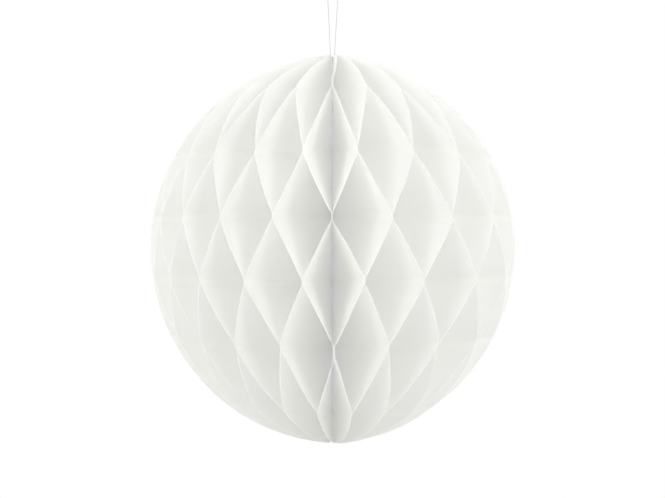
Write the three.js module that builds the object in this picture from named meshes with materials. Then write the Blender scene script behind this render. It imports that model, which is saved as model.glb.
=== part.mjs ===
// A hanging honeycomb paper ball. Half-round paper leaves stand round a bound spine, like the pages of a
// book that is opened full circle. Each leaf is glued to the leaf before it and to the leaf after it in
// turn, along level rows, so the opened fan is full of diamond-shaped cells.
// Millimetres, +Z up, front towards -Y. The origin is the crown of the thread loop that the ball hangs on.

import * as THREE from "three";

// Outline of the opened ball
const BALL_HEIGHT = 200;
const BALL_DIAMETER = 187;
const TIP_WIDTH = 2;

// Paper leaves, counted in glued pairs
const LEAF_PAIRS = 20;
const PAPER_THICKNESS = 0.1;
const GLUE_THICKNESS = 0.1;
const GLUE_BAND = 4;
const ROW_PITCH = 33.3;

// Angle by which the leaves at both sides lean round to the right, so that the fan is opened tighter on its
// left side and wider on its right side
const FAN_LEAN_ANGLE = THREE.MathUtils.degToRad(8.4);

// Bore that the leaves leave on the axis, the bound spine in it, and the clearance between them
const SPINE_BORE = 3.2;
const BINDING_RECESS = 6;
const SEAT_CLEARANCE = 0.3;

// Hanging thread: the height of its loop over the ball, and its route in X and Z from the left strand's
// seat in the spine, over the crown and down to the right strand's seat
const THREAD_DIAMETER = 0.5;
const LOOP_HEIGHT = 44;
const THREAD_ROUTE = [
  [-1.05, -49.7],
  [-1.05, -47.5],
  [-1.06, -45.0],
  [-1.13, -42.0],
  [-1.3, -38.0],
  [-1.52, -33.0],
  [-1.77, -28.0],
  [-2.02, -23.0],
  [-2.27, -18.0],
  [-2.53, -13.0],
  [-2.78, -9.0],
  [-2.94, -6.0],
  [-2.88, -3.6],
  [-2.4, -1.6],
  [-1.35, -0.35],
  [0, 0],
  [1.35, -0.35],
  [2.4, -1.6],
  [2.92, -3.6],
  [3.02, -6.0],
  [2.96, -9.0],
  [2.78, -13.0],
  [2.53, -18.0],
  [2.24, -23.0],
  [1.94, -28.0],
  [1.63, -33.0],
  [1.35, -38.0],
  [1.14, -42.0],
  [1.06, -45.0],
  [1.05, -47.5],
  [1.05, -49.7],
];

// Fineness of the curved faces, and of the search for a leaf's edge
const SPAN_STEPS = 3;
const BINDING_SIDES = 24;
const THREAD_SIDES = 8;
const THREAD_STEPS = 80;
const EDGE_PASSES = 20;

// The fan of leaves and its spine hang below the loop, centred on the ball's equator.
const ball = new THREE.Group();
const fan = new THREE.Group();
fan.position.z = -LOOP_HEIGHT - BALL_HEIGHT / 2;
ball.add(fan);

function makePiece(name, geometry, color, roughness) {
  const material = new THREE.MeshStandardMaterial({ color, roughness, metalness: 0 });
  const piece = new THREE.Mesh(geometry, material);
  piece.name = name;
  return piece;
}

// Each half of the outline is one arc through both poles and the equator, with its centre past the axis.
const halfHeight = BALL_HEIGHT / 2;
const equatorRadius = BALL_DIAMETER / 2;
const arcOffset = (halfHeight ** 2 - equatorRadius ** 2) / (2 * equatorRadius);
const arcRadius = equatorRadius + arcOffset;

// The rim of the bore has room for all the leaves side by side, also where the fan is tightest.
const leafCount = 2 * LEAF_PAIRS;
const leafAngle = (2 * Math.PI) / leafCount;
const paperPitch = PAPER_THICKNESS + GLUE_THICKNESS;
const packedRadius = (leafCount * paperPitch) / (2 * Math.PI * (1 - FAN_LEAN_ANGLE));
const boreRadius = Math.max(SPINE_BORE / 2, packedRadius);

// A leaf that swings from side to side between its glue rows loses height, more so further from the axis.
function drawIn(radius) {
  return Math.sqrt(1 - ((radius * leafAngle) / ROW_PITCH) ** 2);
}

// A place on a leaf's outer edge, by its angle over the equator: its distance from the axis, and its height
// on the flat leaf
function edgePlace(angle) {
  const radius = arcRadius * Math.cos(angle) - arcOffset;
  const height = (arcRadius * Math.sin(angle)) / drawIn(radius);
  return { radius, height };
}

// The angle at which a leaf's outer edge reaches a height on the flat leaf
function edgeAngle(flatHeight) {
  let angle = 0;
  for (let pass = 0; pass < EDGE_PASSES; pass += 1) {
    angle = Math.asin((flatHeight * drawIn(edgePlace(angle).radius)) / arcRadius);
  }
  return angle;
}

// The leaf tips lie just short of the poles, and the glue rows run from the top one down.
const tipAngle = Math.acos((boreRadius + TIP_WIDTH + arcOffset) / arcRadius);
const rowCount = Math.round(BALL_HEIGHT / ROW_PITCH);
const rowHeights = Array.from({ length: rowCount }, (_, row) => ((rowCount - 1) / 2 - row) * ROW_PITCH);

// Direction of a place in the fan, counted in leaves: the glue plane between the first two leaves, at half
// a leaf, faces the front
function fanAzimuth(place) {
  const even = (place - 0.5) * leafAngle;
  return even + FAN_LEAN_ANGLE * (1 - Math.cos(even));
}

// Places on a leaf's outer edge from tip to tip, each with the side the leaf has swung to: 1 where it is
// glued to the next leaf, -1 where it is glued to the one before
function leafLevels(leaf) {
  const side = (row) => ((leaf + row) % 2 === 0 ? 1 : -1);
  const stations = [{ angle: tipAngle, swing: side(0), steps: SPAN_STEPS }];
  rowHeights.forEach((height, row) => {
    stations.push({ angle: edgeAngle(height + GLUE_BAND / 2), swing: side(row), steps: 1 });
    stations.push({ angle: edgeAngle(height - GLUE_BAND / 2), swing: side(row), steps: SPAN_STEPS });
  });
  stations.push({ angle: -tipAngle, swing: side(rowCount - 1), steps: 1 });

  return stations.flatMap((from, index) => {
    const to = stations[index + 1] ?? from;
    return Array.from({ length: from.steps }, (_, step) => {
      const share = step / from.steps;
      const place = edgePlace(THREE.MathUtils.lerp(from.angle, to.angle, share));
      return { ...place, swing: THREE.MathUtils.lerp(from.swing, to.swing, share) };
    });
  });
}

// The four corners of a leaf's section at one level: inner edge, then outer edge, each on both paper faces
function sectionCorners(leaf, { radius: edgeRadius, height, swing }) {
  const azimuth = fanAzimuth(leaf + swing / 2);
  const outward = new THREE.Vector3(Math.sin(azimuth), -Math.cos(azimuth), 0);
  const onward = new THREE.Vector3(Math.cos(azimuth), Math.sin(azimuth), 0);
  return [boreRadius, edgeRadius].flatMap((radius) =>
    [-1, 1].map((face) => {
      const offset = (face * PAPER_THICKNESS - swing * paperPitch) / 2;
      const corner = new THREE.Vector3(0, 0, height * drawIn(radius));
      return corner.addScaledVector(outward, radius).addScaledVector(onward, offset);
    }),
  );
}

// One leaf is its section carried down through the levels. Both faces of the paper share one diagonal in
// every stretch, so the thickness stays even where the leaf twists.
function leafGeometry(leaf) {
  const levels = leafLevels(leaf);
  const index = [];
  const addQuad = (a, b, c, d) => index.push(a, b, c, a, c, d);
  const cornersAt = (level) => [0, 1, 2, 3].map((corner) => 4 * level + corner);
  const bottom = levels.length - 1;
  for (let level = 0; level < bottom; level += 1) {
    const [innerBack, innerFront, outerBack, outerFront] = cornersAt(level);
    const [lowInnerBack, lowInnerFront, lowOuterBack, lowOuterFront] = cornersAt(level + 1);
    addQuad(innerBack, lowInnerBack, lowOuterBack, outerBack);
    addQuad(innerFront, outerFront, lowOuterFront, lowInnerFront);
    addQuad(outerBack, lowOuterBack, lowOuterFront, outerFront);
    addQuad(innerBack, innerFront, lowInnerFront, lowInnerBack);
  }
  const [innerBack, innerFront, outerBack, outerFront] = cornersAt(0);
  addQuad(innerBack, outerBack, outerFront, innerFront);
  const [endInnerBack, endInnerFront, endOuterBack, endOuterFront] = cornersAt(bottom);
  addQuad(endInnerBack, endInnerFront, endOuterFront, endOuterBack);

  const corners = levels.flatMap((level) => sectionCorners(leaf, level));
  const geometry = new THREE.BufferGeometry().setFromPoints(corners);
  geometry.setIndex(index);
  geometry.computeVertexNormals();
  return geometry;
}

for (let leaf = 0; leaf < leafCount; leaf += 1) {
  const number = String(leaf + 1).padStart(2, "0");
  fan.add(makePiece("leaf_" + number, leafGeometry(leaf), "#f5f5f0", 0.9));
}

// Bound spine: a slim rod of gathered edges, thread and glue that fills the bore, short of both poles
const bindingRadius = boreRadius - SEAT_CLEARANCE;
const bindingLength = BALL_HEIGHT - 2 * BINDING_RECESS;
const bindingRod = new THREE.CylinderGeometry(bindingRadius, bindingRadius, bindingLength, BINDING_SIDES);
const binding = makePiece("spine_binding", bindingRod, "#e6e3da", 0.8);
binding.rotation.x = Math.PI / 2;
fan.add(binding);

// Hanging thread: a doubled strand that seats on the spine's top face and meets itself in the loop
const threadCurve = new THREE.CatmullRomCurve3(THREAD_ROUTE.map(([x, z]) => new THREE.Vector3(x, 0, z)));
const threadSection = new THREE.Shape(
  Array.from({ length: THREAD_SIDES }, (_, side) => {
    const angle = (2 * Math.PI * side) / THREAD_SIDES;
    return new THREE.Vector2(Math.cos(angle), Math.sin(angle)).multiplyScalar(THREAD_DIAMETER / 2);
  }),
);
const threadTube = new THREE.ExtrudeGeometry(threadSection, {
  steps: THREAD_STEPS,
  extrudePath: threadCurve,
});
ball.add(makePiece("hanging_thread", threadTube, "#e4e4e0", 0.7));

export default ball;
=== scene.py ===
# A hanging honeycomb paper ball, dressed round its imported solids. Metres, +Z up, front towards -Y. The
# origin is the crown of the thread loop that the ball hangs on.

import math
import random
from collections import namedtuple

import bpy
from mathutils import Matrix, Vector, noise


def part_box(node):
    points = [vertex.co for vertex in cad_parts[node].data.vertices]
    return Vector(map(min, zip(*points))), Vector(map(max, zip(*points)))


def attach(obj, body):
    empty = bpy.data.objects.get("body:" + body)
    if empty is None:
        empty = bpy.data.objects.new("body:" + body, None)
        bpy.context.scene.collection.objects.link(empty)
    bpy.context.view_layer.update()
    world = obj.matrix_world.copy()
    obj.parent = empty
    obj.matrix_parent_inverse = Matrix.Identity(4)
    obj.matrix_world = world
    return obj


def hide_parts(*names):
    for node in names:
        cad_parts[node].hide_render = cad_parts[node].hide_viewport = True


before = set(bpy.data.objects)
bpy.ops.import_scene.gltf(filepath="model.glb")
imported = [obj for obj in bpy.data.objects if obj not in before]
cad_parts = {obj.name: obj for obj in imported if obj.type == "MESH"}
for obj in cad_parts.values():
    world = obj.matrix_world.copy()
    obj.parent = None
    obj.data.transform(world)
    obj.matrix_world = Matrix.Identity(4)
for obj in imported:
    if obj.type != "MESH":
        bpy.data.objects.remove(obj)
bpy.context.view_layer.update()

# Paper leaves
# Half-round leaves of thin white tissue, cut in one stack and glued to each other in turn along level rows.
# Opened full circle round the spine, each leaf zigzags between its two neighbours and stands open between.
BALL_HEIGHT = 0.2
BALL_DIAMETER = 0.187
TIP_WIDTH = 0.002
BORE_RADIUS = 0.0016
ROW_COUNT = 6
ROW_PITCH = 0.0333
GLUE_BAND = 0.002
LEAF_PITCH = 0.0002
PAPER_THICKNESS = 0.00014

# Cut rim, which the knife leaves thicker than the paper: its thickness and width, the most that it takes of
# a short leaf's depth, and how fast it thickens past a glue joint
RIM_THICKNESS = 0.00034
RIM_WIDTH = 0.0006
RIM_SHARE_LIMIT = 0.02
RIM_GROWTH = 3

# How far the glue ran on below its row in two joints of the front, by glue plane and row from the top
GLUE_RUNS = {(0, 2): 0.0008, (0, 4): 0.0022}

# Angle by which the leaves at both sides lean round to the right, and by which the hung fan has turned at
# its poles, to the left at the top and to the right at the foot
FAN_LEAN_ANGLE = math.radians(8.4)
FAN_TWIST = math.radians(1)

# Share of a free stretch in which the paper bends away from a glue joint, before it runs straight
BEND_SHARE = 0.025

# Hand gluing: how far the joints lie off their even places, how far each loose tip leans over by itself,
# and how far all the tips at both poles lean to the right together
GLUING_SEED = 12923
SETTLE_ANGLE = math.radians(0.35)
SETTLE_HEIGHT = 0.0004
TIP_LEAN = math.radians(2)
POLE_LEAN = 0.0014

# Waves of the free paper: a slow bow, and a flutter that dies out inwards from the cut edge. Every leaf
# takes them from another place in the noise, a shift further on.
BOW_DEPTH = 0.0008
BOW_LENGTH = 0.028
BOW_WIDTH = 0.056
BOW_SHIFT = 3.7
FLUTTER_DEPTH = 0.0003
FLUTTER_LENGTH = 0.009
FLUTTER_REACH = 0.006
FLUTTER_SHIFT = 5.3
FLUTTER_LAYER = 0.5

# Fineness of the sheet, and of the search for its cut edge
STRETCH_STEPS = 16
TIP_STEPS = 8
BAND_STEPS = 2
LEAF_COLUMNS = 20
EDGE_PASSES = 20
SHARP_ANGLE = math.radians(50)

# Length of one unit on the leaf's flat map, and how the reach of the painted light deep in a cell falls off
# where the leaf is short, which paints short leaves by the poles darker deep inside
SHEET_UNIT = 0.1
PAINTED_LIGHT_POWER = 0.25

leaf_nodes = sorted(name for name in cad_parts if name.startswith("leaf_"))
leaf_count = len(leaf_nodes)
leaf_angle = math.tau / leaf_count
leaf_boxes = [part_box(name) for name in leaf_nodes]
ball_centre = (min(low.z for low, _ in leaf_boxes) + max(high.z for _, high in leaf_boxes)) / 2

# Each half of the outline is one arc through both poles and the equator, with its centre past the axis.
half_height = BALL_HEIGHT / 2
equator_radius = BALL_DIAMETER / 2
arc_offset = (half_height**2 - equator_radius**2) / (2 * equator_radius)
arc_radius = equator_radius + arc_offset
row_heights = [((ROW_COUNT - 1) / 2 - row) * ROW_PITCH for row in range(ROW_COUNT)]

random.seed(GLUING_SEED)
settle = [
    [(random.gauss(0, SETTLE_ANGLE), random.gauss(0, SETTLE_HEIGHT)) for _ in row_heights]
    for _ in leaf_nodes
]
tip_leans = [(random.gauss(0, TIP_LEAN), random.gauss(0, TIP_LEAN)) for _ in leaf_nodes]


def between(start, end, share):
    return start + (end - start) * share


# A leaf that swings between its glue rows loses height, more so further from the axis.
def draw_in(radius):
    return math.sqrt(1 - (radius * leaf_angle / ROW_PITCH) ** 2)


# Distance of the cut edge from the axis, by the height on the flat leaf
def edge_radius(height):
    radius = equator_radius
    for _ in range(EDGE_PASSES):
        radius = math.sqrt(arc_radius**2 - (height * draw_in(radius)) ** 2) - arc_offset
    return radius


# Direction of a place in the fan, counted in leaves: the glue plane between the first two leaves, at half
# a leaf, faces the front
def fan_azimuth(place):
    even = (place - 0.5) * leaf_angle
    return even + FAN_LEAN_ANGLE * (1 - math.cos(even))


# A straight run with a rounded start and end
def bent_run(share):
    if share > 0.5:
        return 1 - bent_run(1 - share)
    if share < BEND_SHARE:
        return share**2 / (2 * BEND_SHARE * (1 - BEND_SHARE))
    return (share - BEND_SHARE / 2) / (1 - BEND_SHARE)


tip_radius = BORE_RADIUS + TIP_WIDTH
tip_height = math.sqrt(arc_radius**2 - (tip_radius + arc_offset) ** 2) / draw_in(tip_radius)
tip_reach = tip_height - row_heights[0] - GLUE_BAND / 2

# A glue joint of a leaf: the heights on the flat leaf between which it is glued, the azimuth of its glue
# plane and that plane's number, the side of the plane that the leaf lies on, and how far it was lifted
GlueJoint = namedtuple("GlueJoint", "top foot azimuth plane side lift")


def glue_joints(leaf):
    joints = []
    for row, row_height in enumerate(row_heights):
        side = 1 if (leaf + row) % 2 == 0 else -1
        place = leaf if side > 0 else leaf - 1
        plane = place % leaf_count
        turn, lift = settle[plane][row]
        azimuth = fan_azimuth(place + 0.5) + turn - FAN_TWIST * row_height / half_height
        top = row_height + GLUE_BAND / 2
        foot = row_height - GLUE_BAND / 2 - GLUE_RUNS.get((plane, row), 0)
        joints.append(GlueJoint(top, foot, azimuth, plane, side, lift))
    return joints


# Heights on the flat leaf from its top tip down, closest together beside the glue joints
def leaf_heights(joints):
    stops = [tip_height]
    for joint in joints:
        stops += [joint.top, joint.foot]
    stops.append(-tip_height)
    heights = []
    for index, (start, end) in enumerate(zip(stops, stops[1:])):
        steps = BAND_STEPS if index % 2 else STRETCH_STEPS
        if index in (0, len(stops) - 2):
            steps = TIP_STEPS
        for step in range(steps):
            heights.append(between(start, end, (1 - math.cos(math.pi * step / steps)) / 2))
    return heights + [-tip_height]


# Where a leaf stands at a height: its azimuth, the side of its glue plane that it lies on, how far hand
# gluing lifts it, how free it is of the glue joints and how far it is past the last one, both from 0 to 1.
# Past the last joint the loose tip leans over, and between two joints the cut edge runs straight.
def leaf_stand(joints, height):
    above = [joint for joint in joints if joint.top >= height]
    below = [joint for joint in joints if joint.top < height]
    if not above or not below:
        last = above[-1] if above else below[0]
        past = max(height - last.top, last.foot - height, 0) / tip_reach
        lean = tip_leans[last.plane][0 if height > 0 else 1]
        return last.azimuth + lean * past, last.side, last.lift, 0, past
    start = above[-1]
    end = below[0]
    free = min(max((start.foot - height) / (start.foot - end.top), 0), 1)
    share = bent_run(free)
    side = between(start.side, end.side, share)
    lift = between(start.lift, end.lift, share)
    run_top = start.foot + GLUE_BAND / 2
    run_foot = end.top - GLUE_BAND / 2
    swing = between(-edge_radius(run_top), edge_radius(run_foot), share)
    swing /= edge_radius(between(run_top, run_foot, share))
    azimuth = (start.azimuth + end.azimuth) / 2 + swing * (end.azimuth - start.azimuth) / 2
    return azimuth, side, lift, math.sin(math.pi * free), 0


# How far the free paper of a leaf stands off its straight run
def paper_wave(leaf, height, radius, edge):
    bow = noise.noise(Vector((leaf * BOW_SHIFT, height / BOW_LENGTH, radius / BOW_WIDTH)))
    flutter = noise.noise(Vector((leaf * FLUTTER_SHIFT, height / FLUTTER_LENGTH, FLUTTER_LAYER)))
    near_edge = math.exp((radius - edge) / FLUTTER_REACH)
    return BOW_DEPTH * bow * radius / equator_radius + FLUTTER_DEPTH * flutter * near_edge


# Places of a row's points on the way from the bore to the cut edge: even over the sheet, then the rim
def row_shares(rim):
    shares = [(1 - rim) * column / (LEAF_COLUMNS - 1) for column in range(LEAF_COLUMNS)]
    return shares + [1 - rim / 2, 1]


# One row of points across a leaf, outwards on one face of the paper and then on the other. With each point
# go its place on the flat sheet and its depth in the cell, which grows inwards from the cut edge and is cut
# short on short leaves; the tissue's painted light and shade follow it.
def leaf_row(leaf, joints, height):
    azimuth, side, lift, free, past = leaf_stand(joints, height)
    outward = Vector((math.sin(azimuth), -math.cos(azimuth), 0))
    onward = Vector((math.cos(azimuth), math.sin(azimuth), 0))
    edge = edge_radius(height)
    depth = edge - BORE_RADIUS
    # Painted shade: short leaves by the poles get less of the painted light deep in their cells
    painted_light_reach = (depth / (equator_radius - BORE_RADIUS)) ** PAINTED_LIGHT_POWER
    rim = min(RIM_WIDTH / depth, RIM_SHARE_LIMIT)
    rim_thickness = between(PAPER_THICKNESS, RIM_THICKNESS, min(RIM_GROWTH * free, 1))
    row = []
    for face in (-1, 1):
        for share in row_shares(rim):
            radius = BORE_RADIUS + depth * share
            thickness = rim_thickness if share > 1 - rim else PAPER_THICKNESS
            offset = (face * thickness - side * LEAF_PITCH) / 2
            offset += free * paper_wave(leaf, height, radius, edge)
            level = ball_centre + (height + lift) * draw_in(radius)
            sway = POLE_LEAN * past * share
            point = outward * radius + onward * offset + Vector((sway, 0, level))
            flat = (radius / SHEET_UNIT, height / SHEET_UNIT)
            inward = ((1 - share) * painted_light_reach, height / SHEET_UNIT)
            row.append((point, flat, inward))
    return row


# Faces of a closed thin sheet, from rows of points that hold one face's columns and then the other's
def sheet_faces(rows, columns):
    row_size = 2 * columns
    rim = columns - 1
    faces = []
    for row in range(rows - 1):
        top = row * row_size
        low = top + row_size
        for column in range(rim):
            back = column + columns
            faces.append((top + column, low + column, low + column + 1, top + column + 1))
            faces.append((top + back, top + back + 1, low + back + 1, low + back))
        faces.append((top + rim, low + rim, low + rim + columns, top + rim + columns))
        faces.append((top, top + columns, low + columns, low))
    end = (rows - 1) * row_size
    for column in range(rim):
        back = column + columns
        faces.append((column, column + 1, back + 1, back))
        faces.append((end + column, end + back, end + back + 1, end + column + 1))
    return faces


def leaf_mesh(leaf, name):
    joints = glue_joints(leaf)
    rows = [leaf_row(leaf, joints, height) for height in leaf_heights(joints)]
    points, flat, inward = zip(*(place for row in rows for place in row))
    mesh = bpy.data.meshes.new(name)
    mesh.from_pydata(points, [], sheet_faces(len(rows), len(rows[0]) // 2))
    for map_name, places in (("flat_sheet", flat), ("cell_depth", inward)):
        uv_map = mesh.uv_layers.new(name=map_name)
        for loop in mesh.loops:
            uv_map.data[loop.index].uv = places[loop.vertex_index]
    mesh.shade_smooth()
    mesh.set_sharp_from_angle(angle=SHARP_ANGLE)
    return mesh


# An input takes a plain value or another node's output, and a node takes its inputs and settings by name.
def feed(socket, value):
    if isinstance(value, bpy.types.NodeSocket):
        socket.id_data.links.new(value, socket)
    else:
        socket.default_value = value


def add_node(tree, kind, **values):
    node = tree.nodes.new(kind)
    for key, value in values.items():
        if key in node.inputs:
            feed(node.inputs[key], value)
        else:
            setattr(node, key, value)
    return node


def add_math(tree, operation, *values):
    node = add_node(tree, "ShaderNodeMath", operation=operation)
    for socket, value in zip(node.inputs, values):
        feed(socket, value)
    return node.outputs["Value"]


# A ramp that rises from its floor to 1 while a value goes from low to high
def add_ramp(tree, value, low, high, floor=0, curve="LINEAR"):
    node = add_node(tree, "ShaderNodeMapRange", interpolation_type=curve, Value=value)
    feed(node.inputs["From Min"], low)
    feed(node.inputs["From Max"], high)
    feed(node.inputs["To Min"], floor)
    return node.outputs["Result"]


# Places of the colour sockets on a Mix node, which share their names with its other sockets
MIX_START = 6
MIX_END = 7
MIX_RESULT = 2


def mix_colours(tree, share, start, end, blend_type="MIX"):
    node = add_node(tree, "ShaderNodeMix", data_type="RGBA", blend_type=blend_type, Factor=share)
    feed(node.inputs[MIX_START], start)
    feed(node.inputs[MIX_END], end)
    return node.outputs[MIX_RESULT]


def mix_shaders(tree, share, start, end):
    node = add_node(tree, "ShaderNodeMixShader")
    for socket, value in zip(node.inputs, (share, start, end)):
        feed(socket, value)
    return node.outputs["Shader"]


def start_material(name, roughness):
    material = bpy.data.materials.new(name)
    material.use_nodes = True
    matt = material.node_tree.nodes["Principled BSDF"]
    matt.inputs["Roughness"].default_value = roughness
    return material, material.node_tree, matt


# Lie of the fibres in the paper, as stretch and turn: most of them run one way, and strays cross them
FIBRE_LIES = [((1, 0.16, 1), 0.35), ((0.2, 1, 1), -0.5)]


# Paper formation, shared by the leaves and the gathered spine: cloudy density from the paper machine, and
# short fibres. It puts out a tone about 0.5 and a surface height.
def make_formation_group():
    group = bpy.data.node_groups.new("paper_formation", "ShaderNodeTree")
    add_socket = group.interface.new_socket
    add_socket("Vector", in_out="INPUT", socket_type="NodeSocketVector")
    add_socket("Cloud Scale", in_out="INPUT", socket_type="NodeSocketFloat")
    add_socket("Fibre Scale", in_out="INPUT", socket_type="NodeSocketFloat")
    add_socket("Tone", in_out="OUTPUT", socket_type="NodeSocketFloat")
    add_socket("Height", in_out="OUTPUT", socket_type="NodeSocketFloat")
    entry = add_node(group, "NodeGroupInput")
    clouds = add_node(group, "ShaderNodeTexNoise", Detail=4, Roughness=0.6)
    feed(clouds.inputs["Vector"], entry.outputs["Vector"])
    feed(clouds.inputs["Scale"], entry.outputs["Cloud Scale"])
    layers = []
    for stretch, turn in FIBRE_LIES:
        lie = add_node(group, "ShaderNodeMapping", Scale=stretch, Rotation=(0, 0, turn))
        fibres = add_node(group, "ShaderNodeTexNoise", Detail=3, Roughness=0.7)
        feed(lie.inputs["Vector"], entry.outputs["Vector"])
        feed(fibres.inputs["Vector"], lie.outputs["Vector"])
        feed(fibres.inputs["Scale"], entry.outputs["Fibre Scale"])
        layers.append(fibres.outputs["Fac"])
    felt = add_math(group, "MAXIMUM", *layers)
    tone = add_node(group, "ShaderNodeMix", data_type="FLOAT", Factor=0.4, A=clouds.outputs["Fac"], B=felt)
    add_node(group, "NodeGroupOutput", Tone=tone.outputs["Result"], Height=felt)
    return group


formation_group = make_formation_group()


def add_formation(tree, place, cloud_scale, fibre_scale):
    formation = add_node(tree, "ShaderNodeGroup", node_tree=formation_group)
    feed(formation.inputs["Vector"], place)
    feed(formation.inputs["Cloud Scale"], cloud_scale)
    feed(formation.inputs["Fibre Scale"], fibre_scale)
    return formation.outputs["Tone"], formation.outputs["Height"]


TISSUE_ROUGHNESS = 0.9
TISSUE_GLOSS = 0.2
# Painted light and shade on the tissue: the lighter colour deep in the cells, the darker one by the cut
# edge, and the depths between which it goes from one to the other
TISSUE_PAINTED_LIGHT = (0.9977, 0.9977, 0.9993, 1)
TISSUE_PAINTED_SHADE = (0.986, 0.986, 0.983, 1)
PAINTED_SHADE_DEPTH = 0.27
PAINTED_LIGHT_DEPTH = 0.91
TISSUE_CLOUD_SCALE = 14
TISSUE_FIBRE_SCALE = 60
CLOUD_DEPTH = 0.001
THIN_TONE = 0.35
DENSE_TONE = 0.65
GLUED_WHITE = (0.991, 0.991, 0.988, 1)
GLUE_RAGGEDNESS = 0.02
TISSUE_TRANSLUCENCY = 0.27


# Mask of the glue rows, by the height on the flat sheet, with borders broken up by the paper's tone
def add_glue_mask(tree, height, tone):
    half_row = ROW_PITCH / SHEET_UNIT / 2
    half_band = GLUE_BAND / SHEET_UNIT / 2
    raised = add_math(tree, "ADD", height, ROW_COUNT * half_row)
    from_gap = add_math(tree, "PINGPONG", raised, half_row)
    ragged = add_math(tree, "MULTIPLY_ADD", tone, GLUE_RAGGEDNESS, from_gap)
    return add_ramp(tree, ragged, half_row - half_band, half_row - half_band / 2)


# Tissue: a matt fibrous sheet that lets about a quarter of its light through. Its colour carries painted
# shade by the cut edge and painted light deep in the cells, and the glue has evened it out along the rows.
def make_tissue():
    material, tree, matt = start_material("white_tissue", TISSUE_ROUGHNESS)
    matt.inputs["Specular IOR Level"].default_value = TISSUE_GLOSS
    sheet = add_node(tree, "ShaderNodeUVMap", uv_map="flat_sheet")
    cell = add_node(tree, "ShaderNodeUVMap", uv_map="cell_depth")
    across = add_node(tree, "ShaderNodeSeparateXYZ", Vector=sheet.outputs["UV"])
    inward = add_node(tree, "ShaderNodeSeparateXYZ", Vector=cell.outputs["UV"])
    tone, height = add_formation(tree, sheet.outputs["UV"], TISSUE_CLOUD_SCALE, TISSUE_FIBRE_SCALE)

    # Painted light and shade: the paper is darker by the cut edge and lighter deep in the cell
    painted_light_share = add_ramp(tree, inward.outputs["X"], PAINTED_SHADE_DEPTH, PAINTED_LIGHT_DEPTH, curve="SMOOTHSTEP")
    density = add_ramp(tree, tone, THIN_TONE, DENSE_TONE, floor=1 - CLOUD_DEPTH)
    glued = add_glue_mask(tree, across.outputs["Y"], tone)
    painted_shading = mix_colours(tree, painted_light_share, TISSUE_PAINTED_SHADE, TISSUE_PAINTED_LIGHT)
    clouded = mix_colours(tree, 1, painted_shading, density, blend_type="MULTIPLY")
    colour = mix_colours(tree, glued, clouded, GLUED_WHITE)

    relief = add_node(tree, "ShaderNodeBump", Strength=0.25, Distance=0.0001, Height=height)
    through = add_node(tree, "ShaderNodeBsdfTranslucent")
    for shader, colour_input in ((matt, "Base Color"), (through, "Color")):
        feed(shader.inputs[colour_input], colour)
        feed(shader.inputs["Normal"], relief.outputs["Normal"])
    sheer = mix_shaders(tree, TISSUE_TRANSLUCENCY, matt.outputs["BSDF"], through.outputs["BSDF"])
    feed(tree.nodes["Material Output"].inputs["Surface"], sheer)
    return material


def add_piece(name, mesh, material, node):
    mesh.materials.append(material)
    piece = bpy.data.objects.new(name, mesh)
    bpy.context.collection.objects.link(piece)
    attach(piece, "root")
    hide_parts(node)
    return piece


tissue = make_tissue()
for leaf, leaf_node in enumerate(leaf_nodes):
    leaf_name = "paper_" + leaf_node
    add_piece(leaf_name, leaf_mesh(leaf, leaf_name), tissue, leaf_node)

# Bound spine
# The inner edges of all the leaves, gathered on the axis into a slim rod, stiffened with paste and wound
# with thread at both ends. It fills the bore, and a bead of dried paste closes the bore below its foot.
FLUTE_DEPTH = 0.00008
WINDING_LENGTH = 0.014
WINDING_PITCH = 0.0005
WINDING_DEPTH = 0.00012
PASTE_LENGTH = 0.0053
PASTE_TIP = 0.00005
SPINE_SIDES = 2 * leaf_count
WINDING_STEPS = 112
PLAIN_STEPS = 40
PASTE_STEPS = 12
SPINE_ROUGHNESS = 0.8
SPINE_WHITE = (0.999, 0.999, 0.978, 1)
SPINE_SHADE = (0.996, 0.996, 0.97, 1)
SPINE_CLOUD_SCALE = 300
SPINE_FIBRE_SCALE = 1500

spine_low, spine_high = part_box("spine_binding")
spine_radius = (spine_high.x - spine_low.x) / 2


# A ring of the rod: the round end of the paste, the round of a wound thread, or flutes between the edges
def spine_ring(height):
    from_tip = height - spine_low.z + PASTE_LENGTH
    from_end = min(height - spine_low.z, spine_high.z - height)
    ring = []
    for side in range(SPINE_SIDES):
        angle = math.tau * side / SPINE_SIDES
        if from_tip < spine_radius:
            radius = math.sqrt(from_tip * (2 * spine_radius - from_tip))
        elif 0 <= from_end < WINDING_LENGTH:
            turn = math.pi * height / WINDING_PITCH + angle / 2
            radius = spine_radius - WINDING_DEPTH * (1 - abs(math.sin(turn)))
        else:
            radius = spine_radius - WINDING_DEPTH - FLUTE_DEPTH * (side % 2)
        ring.append(Vector((radius * math.cos(angle), radius * math.sin(angle), height)))
    return ring


# Faces of a closed tube, from rings of points that run anticlockwise as seen from its far end
def tube_faces(first, rings, sides):
    faces = []
    for ring in range(rings - 1):
        near = first + ring * sides
        far = near + sides
        for side in range(sides):
            onward = (side + 1) % sides
            faces.append((near + side, near + onward, far + onward, far + side))
    last = first + (rings - 1) * sides
    faces.append(tuple(first + side for side in reversed(range(sides))))
    faces.append(tuple(last + side for side in range(sides)))
    return faces


# The rod from its foot up. The lowest ring lies just inside the paste's round end, where it has some width.
def spine_mesh():
    paste_low = spine_low.z - PASTE_LENGTH + PASTE_TIP
    plain_low = spine_low.z + WINDING_LENGTH
    plain_high = spine_high.z - WINDING_LENGTH
    stretches = [
        (paste_low, spine_low.z, PASTE_STEPS),
        (spine_low.z, plain_low, WINDING_STEPS),
        (plain_low, plain_high, PLAIN_STEPS),
        (plain_high, spine_high.z, WINDING_STEPS),
    ]
    heights = [between(low, high, step / steps) for low, high, steps in stretches for step in range(steps)]
    heights.append(spine_high.z)
    points = [point for height in heights for point in spine_ring(height)]
    mesh = bpy.data.meshes.new("bound_spine")
    mesh.from_pydata(points, [], tube_faces(0, len(heights), SPINE_SIDES))
    return mesh


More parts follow.
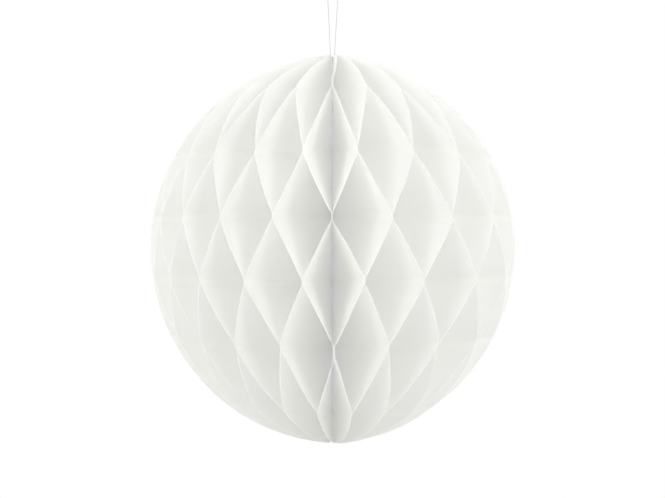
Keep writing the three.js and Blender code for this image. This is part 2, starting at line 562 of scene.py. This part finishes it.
# Gathered paper: the same tissue seen on edge, with cream paste dried into it
def make_spine_paper():
    material, tree, matt = start_material("gathered_paper", SPINE_ROUGHNESS)
    place = add_node(tree, "ShaderNodeTexCoord")
    tone, height = add_formation(tree, place.outputs["Object"], SPINE_CLOUD_SCALE, SPINE_FIBRE_SCALE)
    relief = add_node(tree, "ShaderNodeBump", Strength=0.4, Distance=0.0001, Height=height)
    feed(matt.inputs["Base Color"], mix_colours(tree, tone, SPINE_SHADE, SPINE_WHITE))
    feed(matt.inputs["Normal"], relief.outputs["Normal"])
    return material


add_piece("bound_spine", spine_mesh(), make_spine_paper(), "spine_binding")

# Hanging thread
# One length of white sewing thread, two plies twisted together, doubled into a loop. Both strands seat on
# the spine's top face between the leaf tips, and the crown of the loop is what the ball hangs on.
THREAD_DIAMETER = 0.0005
PLY_RADIUS = 0.00014
PLY_COUNT = 2
TWIST_LENGTH = 0.0016
PLY_SIDES = 6
ROUTE_STEPS = 12
THREAD_ROUTE = [
    (-0.00105, 0, -0.0497),
    (-0.00105, 0, -0.0475),
    (-0.00106, 0, -0.045),
    (-0.00113, 0, -0.042),
    (-0.0013, 0, -0.038),
    (-0.00152, 0, -0.033),
    (-0.00177, 0, -0.028),
    (-0.00202, 0, -0.023),
    (-0.00227, 0, -0.018),
    (-0.00253, 0, -0.013),
    (-0.00278, 0, -0.009),
    (-0.00294, 0, -0.006),
    (-0.00288, 0, -0.0036),
    (-0.0024, 0, -0.0016),
    (-0.00135, 0, -0.00035),
    (0, 0, 0),
    (0.00135, 0, -0.00035),
    (0.0024, 0, -0.0016),
    (0.00292, 0, -0.0036),
    (0.00302, 0, -0.006),
    (0.00296, 0, -0.009),
    (0.00278, 0, -0.013),
    (0.00253, 0, -0.018),
    (0.00224, 0, -0.023),
    (0.00194, 0, -0.028),
    (0.00163, 0, -0.033),
    (0.00135, 0, -0.038),
    (0.00114, 0, -0.042),
    (0.00106, 0, -0.045),
    (0.00105, 0, -0.0475),
    (0.00105, 0, -0.0497),
]
THREAD_ROUGHNESS = 0.7
THREAD_SHEEN = 0.2
THREAD_WHITE = (0.8, 0.8, 0.78, 1)
THREAD_SHADE = (0.58, 0.58, 0.56, 1)

ply_offset = THREAD_DIAMETER / 2 - PLY_RADIUS


# A smooth line through the route's points, as a spline of even Catmull-Rom spans
def smooth_route(route, steps):
    stops = [Vector(point) for point in route]
    padded = [2 * stops[0] - stops[1], *stops, 2 * stops[-1] - stops[-2]]
    line = []
    for before, start, end, after in zip(padded, padded[1:], padded[2:], padded[3:]):
        for step in range(steps):
            share = step / steps
            bend = (2 * before - 5 * start + 4 * end - after) * share**2
            turn = (3 * (start - end) + after - before) * share**3
            line.append(start + ((end - before) * share + bend + turn) / 2)
    return line + [stops[-1]]


# The plies as round tubes that turn about the thread's line, which lies in the plane of X and Z
def thread_mesh(line):
    across = Vector((0, 1, 0))
    points = []
    faces = []
    for ply in range(PLY_COUNT):
        faces += tube_faces(len(points), len(line), PLY_SIDES)
        travelled = 0
        for index, place in enumerate(line):
            ahead = line[min(index + 1, len(line) - 1)]
            behind = line[max(index - 1, 0)]
            travelled += (place - behind).length
            level = (ahead - behind).normalized().cross(across)
            twist = math.tau * (travelled / TWIST_LENGTH + ply / PLY_COUNT)
            middle = place + (level * math.cos(twist) + across * math.sin(twist)) * ply_offset
            for side in range(PLY_SIDES):
                angle = -math.tau * side / PLY_SIDES
                points.append(middle + (level * math.cos(angle) + across * math.sin(angle)) * PLY_RADIUS)
    mesh = bpy.data.meshes.new("thread_loop")
    mesh.from_pydata(points, [], faces)
    mesh.shade_smooth()
    return mesh


# Spun cotton: fine fibres that give the plies a soft uneven grey
def make_thread_cotton():
    material, tree, matt = start_material("white_thread", THREAD_ROUGHNESS)
    matt.inputs["Sheen Weight"].default_value = THREAD_SHEEN
    place = add_node(tree, "ShaderNodeTexCoord")
    fibres = add_node(tree, "ShaderNodeTexNoise", Scale=4000, Detail=3, Roughness=0.6)
    feed(fibres.inputs["Vector"], place.outputs["Object"])
    fluff = fibres.outputs["Fac"]
    relief = add_node(tree, "ShaderNodeBump", Strength=0.3, Distance=0.00005, Height=fluff)
    feed(matt.inputs["Base Color"], mix_colours(tree, fluff, THREAD_SHADE, THREAD_WHITE))
    feed(matt.inputs["Normal"], relief.outputs["Normal"])
    return material


thread_line = smooth_route(THREAD_ROUTE, ROUTE_STEPS)
cotton = make_thread_cotton()
thread = add_piece("thread_loop", thread_mesh(thread_line), cotton, "hanging_thread")

# Camera
# Level with the ball's middle, straight in front of it, at the distance that gives the photograph's view.
# White paper deep in the cells is lit by light that has bounced many times, so the bounces run on far.
CAMERA_DISTANCE = 0.795
IMAGE_WIDTH = 665
FOCAL_PIXELS = 1537
SENSOR_WIDTH = 36
LIGHT_BOUNCES = 256

camera_data = bpy.data.cameras.new("front_camera")
camera_data.sensor_width = SENSOR_WIDTH
camera_data.lens = SENSOR_WIDTH * FOCAL_PIXELS / IMAGE_WIDTH
camera = bpy.data.objects.new("front_camera", camera_data)
camera.location = (0, -CAMERA_DISTANCE, ball_centre)
camera.rotation_euler = (math.radians(90), 0, 0)
bpy.context.collection.objects.link(camera)
bpy.context.scene.camera = camera
bpy.context.scene.view_settings.view_transform = "Standard"
bpy.context.scene.cycles.max_bounces = LIGHT_BOUNCES
bpy.context.scene.cycles.diffuse_bounces = LIGHT_BOUNCES
bpy.context.scene.cycles.transmission_bounces = LIGHT_BOUNCES

# Stage
# A pale matt floor well below the hanging ball, inside a white tent that gives soft light from all round.
# Round soft lamps stand about the ball in pairs, with one overhead. All of this light is faintly warm.
FLOOR_HEIGHT = -0.75
FLOOR_RADIUS = 2.4
FLOOR_SIDES = 96
FLOOR_ROUGHNESS = 0.95
FLOOR_LIGHT = (0.8, 0.8, 0.8, 1)
FLOOR_DARK = (0.76, 0.76, 0.76, 1)
WARM_WHITE = (1, 1, 0.973)
TENT_STRENGTH = 0.61
BACKDROP_WHITE = (1, 1, 1, 1)
LAMP_SIZE = 0.6
LAMP_DISTANCE = 1.3

# Azimuth from the front and elevation in degrees, and watts
TOP_LAMP = (0, 85, 1)
LAMP_PAIRS = {
    "key": (36, 15, 3.2),
    "side": (75, 15, 1.5),
    "rim": (115, 0, 2.2),
    "back": (145, 20, 2.8),
}


def make_floor():
    material, tree, matt = start_material("pale_floor", FLOOR_ROUGHNESS)
    place = add_node(tree, "ShaderNodeTexCoord")
    grain = add_node(tree, "ShaderNodeTexNoise", Vector=place.outputs["Object"], Scale=6, Detail=4)
    feed(matt.inputs["Base Color"], mix_colours(tree, grain.outputs["Fac"], FLOOR_DARK, FLOOR_LIGHT))
    turns = [math.tau * side / FLOOR_SIDES for side in range(FLOOR_SIDES)]
    rim = [(FLOOR_RADIUS * math.cos(turn), FLOOR_RADIUS * math.sin(turn), FLOOR_HEIGHT) for turn in turns]
    mesh = bpy.data.meshes.new("studio_floor")
    mesh.from_pydata(rim, [], [tuple(range(FLOOR_SIDES))])
    mesh.materials.append(material)
    floor = bpy.data.objects.new("studio_floor", mesh)
    bpy.context.collection.objects.link(floor)


# The tent lights the ball softly, and shows as plain white behind it.
def make_tent():
    world = bpy.data.worlds.new("studio_tent")
    world.use_nodes = True
    tree = world.node_tree
    light = tree.nodes["Background"]
    light.inputs["Color"].default_value = (*WARM_WHITE, 1)
    light.inputs["Strength"].default_value = TENT_STRENGTH
    backdrop = add_node(tree, "ShaderNodeBackground", Color=BACKDROP_WHITE, Strength=1)
    path = add_node(tree, "ShaderNodeLightPath")
    shown = path.outputs["Is Camera Ray"]
    for ray in ("Is Glossy Ray", "Is Transmission Ray"):
        shown = add_math(tree, "MAXIMUM", shown, path.outputs[ray])
    surface = mix_shaders(tree, shown, light.outputs["Background"], backdrop.outputs["Background"])
    feed(tree.nodes["World Output"].inputs["Surface"], surface)
    bpy.context.scene.world = world


def add_lamp(name, azimuth, elevation, watts):
    lamp_data = bpy.data.lights.new(name, "AREA")
    lamp_data.shape = "DISK"
    lamp_data.size = LAMP_SIZE
    lamp_data.energy = watts
    lamp_data.color = WARM_WHITE
    lamp = bpy.data.objects.new(name, lamp_data)
    turn = math.radians(azimuth)
    rise = math.radians(elevation)
    level = math.cos(rise)
    aim = Vector((math.sin(turn) * level, -math.cos(turn) * level, math.sin(rise)))
    lamp.location = Vector((0, 0, ball_centre)) + aim * LAMP_DISTANCE
    lamp.rotation_euler = aim.to_track_quat("Z", "Y").to_euler()
    bpy.context.collection.objects.link(lamp)


make_floor()
make_tent()
add_lamp("top_lamp", *TOP_LAMP)
for lamp_name, (lamp_azimuth, lamp_elevation, lamp_watts) in LAMP_PAIRS.items():
    add_lamp("left_" + lamp_name, -lamp_azimuth, lamp_elevation, lamp_watts)
    add_lamp("right_" + lamp_name, lamp_azimuth, lamp_elevation, lamp_watts)
